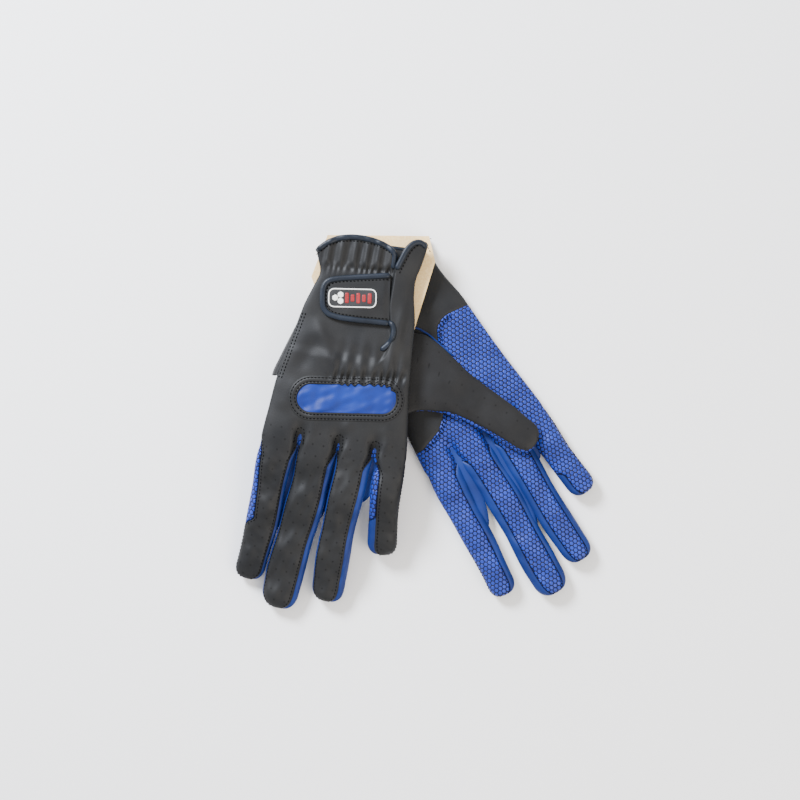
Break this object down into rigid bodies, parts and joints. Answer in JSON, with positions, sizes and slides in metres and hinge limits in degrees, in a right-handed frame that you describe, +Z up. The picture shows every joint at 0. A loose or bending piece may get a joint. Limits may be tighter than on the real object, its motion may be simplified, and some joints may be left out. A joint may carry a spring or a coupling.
{
  "type": "pair of thin sports gloves",
  "caption": "Pair of thin full-finger sports gloves in black leather with blue grip palms, laid crosswise, with tab closures and a display card.",
  "frame": {"origin": "on the table under the middle of the pair's bounding box", "axes": "+Z up from the table, +Y from the fingertips towards the cuffs, +X towards the side on which the lower glove lies"},
  "size_m": [0.2302, 0.2404, 0.0297],
  "materials": {
    "leather": "fine-grained black synthetic leather with a soft sheen",
    "stretch": "blue knitted stretch fabric",
    "grip": "blue fabric printed with raised hexagons of silicone",
    "trim": "black bound edge",
    "elastic": "woven elastic",
    "loop": "black loop tape",
    "hook": "black hook tape",
    "badge": "moulded soft badge in red and white",
    "card": "cream paperboard"
  },
  "bodies": {
    "right_hand": {"right_back_panel": "leather", "right_knuckle_panel": "stretch", "right_palm_panel": "grip", "right_palm_heel": "leather", "right_cuff_back": "leather", "right_cuff_flap": "leather", "right_cuff_binding": "trim", "right_flap_binding": "trim", "right_wrist_elastic": "elastic", "right_loop_patch": "loop", "right_thumb_gusset": "leather"},
    "right_tab": {"right_wrist_tab": "leather", "right_tab_binding": "trim", "right_hook_patch": "hook", "right_tab_badge": "badge"},
    "right_index": {"right_index_back": "leather", "right_index_palm": "grip", "right_index_fourchette": "stretch"},
    "right_middle": {"right_middle_back": "leather", "right_middle_palm": "grip", "right_middle_fourchette": "stretch"},
    "right_ring": {"right_ring_back": "leather", "right_ring_palm": "grip", "right_ring_fourchette": "stretch"},
    "right_little": {"right_little_back": "leather", "right_little_palm": "grip", "right_little_fourchette": "stretch"},
    "right_thumb": {"right_thumb_back": "leather", "right_thumb_palm": "grip"},
    "left_hand": {"left_back_panel": "leather", "left_knuckle_panel": "stretch", "left_palm_panel": "grip", "left_palm_heel": "leather", "left_cuff_back": "leather", "left_cuff_flap": "leather", "left_cuff_binding": "trim", "left_flap_binding": "trim", "left_wrist_elastic": "elastic", "left_loop_patch": "loop", "left_thumb_gusset": "leather"},
    "left_tab": {"left_wrist_tab": "leather", "left_tab_binding": "trim", "left_hook_patch": "hook", "left_tab_badge": "badge"},
    "left_index": {"left_index_back": "leather", "left_index_palm": "grip", "left_index_fourchette": "stretch"},
    "left_middle": {"left_middle_back": "leather", "left_middle_palm": "grip", "left_middle_fourchette": "stretch"},
    "left_ring": {"left_ring_back": "leather", "left_ring_palm": "grip", "left_ring_fourchette": "stretch"},
    "left_little": {"left_little_back": "leather", "left_little_palm": "grip", "left_little_fourchette": "stretch"},
    "left_thumb": {"left_thumb_back": "leather", "left_thumb_palm": "grip"},
    "card": {"insert_card": "card"}
  },
  "joints": [
    {"name": "right_index_flex", "type": "hinge", "parent": "right_hand", "child": "right_index", "pos_m": [0.01599, -0.02589, 0.011], "axis": [-0.8949, -0.4462, 0], "range_deg": [0, 60]},
    {"name": "right_middle_flex", "type": "hinge", "parent": "right_hand", "child": "right_middle", "pos_m": [0.03605, -0.01431, 0.011], "axis": [-0.859, -0.512, 0], "range_deg": [0, 60]},
    {"name": "right_ring_flex", "type": "hinge", "parent": "right_hand", "child": "right_ring", "pos_m": [0.06813, -0.02348, 0.011], "axis": [-0.8471, -0.5314, 0], "range_deg": [0, 60]},
    {"name": "right_little_flex", "type": "hinge", "parent": "right_hand", "child": "right_little", "pos_m": [0.08767, -0.01205, 0.011], "axis": [-0.807, -0.5906, 0], "range_deg": [0, 60]},
    {"name": "right_thumb_unfold", "type": "hinge", "parent": "right_hand", "child": "right_thumb", "pos_m": [0.00012, 0.00998, 0.0176], "axis": [-0.5596, -0.8288, 0], "range_deg": [0, 80]},
    {"name": "right_tab_open", "type": "hinge", "parent": "right_hand", "child": "right_tab", "pos_m": [0.01047, 0.08466, 0], "axis": [0.6293, -0.7771, 0], "range_deg": [0, 150]},
    {"name": "left_glove_lift", "type": "slide", "parent": "right_hand", "child": "left_hand", "axis": [0, 0, 1], "range_m": [0, 0.15]},
    {"name": "left_index_flex", "type": "hinge", "parent": "left_hand", "child": "left_index", "pos_m": [-0.08568, -0.00859, 0.0187], "axis": [0.9728, -0.2317, 0], "range_deg": [-11, 60]},
    {"name": "left_middle_flex", "type": "hinge", "parent": "left_hand", "child": "left_middle", "pos_m": [-0.06118, -0.01308, 0.0187], "axis": [0.969, -0.247, 0], "range_deg": [-9, 60]},
    {"name": "left_ring_flex", "type": "hinge", "parent": "left_hand", "child": "left_ring", "pos_m": [-0.04245, -0.04091, 0.0187], "axis": [0.9792, -0.2028, 0], "range_deg": [-13, 60]},
    {"name": "left_little_flex", "type": "hinge", "parent": "left_hand", "child": "left_little", "pos_m": [-0.01787, -0.04535, 0.0187], "axis": [0.9949, -0.1011, 0], "range_deg": [-22, 60]},
    {"name": "left_thumb_unfold", "type": "hinge", "parent": "left_hand", "child": "left_thumb", "pos_m": [-0.07421, 0.02896, 0.0121], "axis": [0.9633, 0.2685, 0], "range_deg": [0, 80]},
    {"name": "left_tab_open", "type": "hinge", "parent": "left_hand", "child": "left_tab", "pos_m": [-0.01586, 0.07875, 0.0297], "axis": [0.0244, 0.9997, 0], "range_deg": [0, 150]},
    {"name": "card_slide", "type": "slide", "parent": "left_hand", "child": "card", "axis": [0.1805, 0.9836, 0], "range_m": [0, 0.1]}
  ]
}
